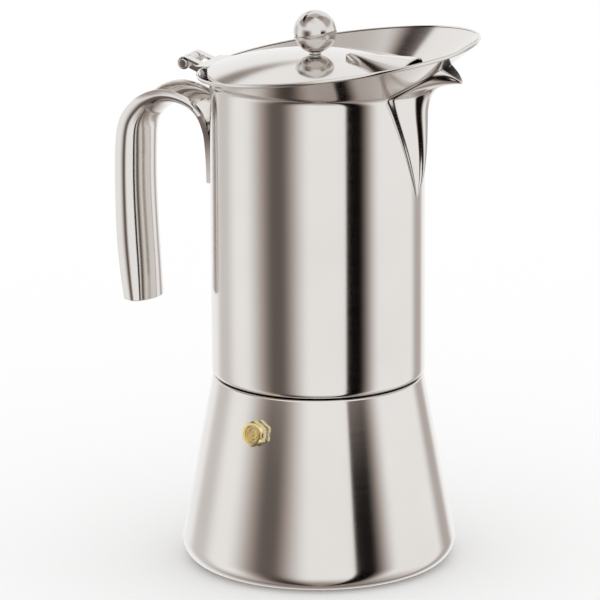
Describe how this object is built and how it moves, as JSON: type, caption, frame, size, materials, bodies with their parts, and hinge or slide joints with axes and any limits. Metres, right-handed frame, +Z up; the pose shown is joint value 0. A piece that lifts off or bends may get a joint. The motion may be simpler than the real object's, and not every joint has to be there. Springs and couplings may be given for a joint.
{
  "type": "moka pot",
  "caption": "Stovetop espresso maker in stainless steel with a conical boiler, safety valve, screw-on upper vessel, flared brim, V spout, hinged lid with ball knob and strap handle.",
  "frame": {"origin": "centre of the boiler's flat base", "axes": "+Z up along the boiler's axis, +X towards the spout, the handle at -X"},
  "size_m": [0.1457, 0.109, 0.2152],
  "materials": {
    "satin_steel": "satin",
    "polished_steel": "polished stainless steel",
    "brass": "turned",
    "silicone": "moulded silicone, matt"
  },
  "bodies": {
    "boiler_body": {"boiler": "satin_steel", "valve_body": "brass", "valve_washer": "silicone", "valve_nut": "brass"},
    "valve": {"valve_plunger": "brass", "valve_spring": "polished_steel"},
    "funnel": {"funnel_basket": "polished_steel", "funnel_tube": "polished_steel", "basket_plate": "polished_steel"},
    "seal": {"gasket": "silicone"},
    "filter": {"filter_plate": "polished_steel"},
    "upper": {"upper_vessel": "satin_steel", "thread_ring": "polished_steel", "vessel_floor": "polished_steel", "riser_column": "polished_steel", "column_cap": "polished_steel", "spout": "satin_steel", "handle": "satin_steel", "hinge_bracket": "polished_steel", "hinge_pin": "polished_steel"},
    "lid_body": {"lid": "satin_steel", "knob_collar": "polished_steel", "knob_ball": "polished_steel", "knob_screw": "polished_steel"}
  },
  "joints": [
    {"name": "valve_lift", "type": "slide", "parent": "boiler_body", "child": "valve", "axis": [-0.1469, -0.9716, 0.1855], "range_m": [0, 0.001], "stiffness_N_per_m": 800, "springref_m": -0.001, "deforming": ["valve_spring"]},
    {"name": "funnel_lift", "type": "slide", "parent": "boiler_body", "child": "funnel", "axis": [0, 0, 1], "range_m": [0, 0.075]},
    {"name": "top_lift", "type": "slide", "parent": "funnel", "child": "seal", "axis": [0, 0, 1], "range_m": [0, 0.06]},
    {"name": "thread_rise", "type": "slide", "parent": "seal", "child": "filter", "axis": [0, 0, 1], "range_m": [0, 0.0071]},
    {"name": "top_turn", "type": "hinge", "parent": "filter", "child": "upper", "pos_m": [0, 0, 0.0863], "axis": [0, 0, 1], "range_deg": [0, 720]},
    {"name": "lid_hinge", "type": "hinge", "parent": "upper", "child": "lid_body", "pos_m": [-0.0529, 0, 0.1916], "axis": [0, -1, 0], "range_deg": [0, 105]}
  ],
  "couplings": [
    {"joint": "thread_rise", "follows": "top_turn", "m_per_rad": 0.00055704}
  ]
}
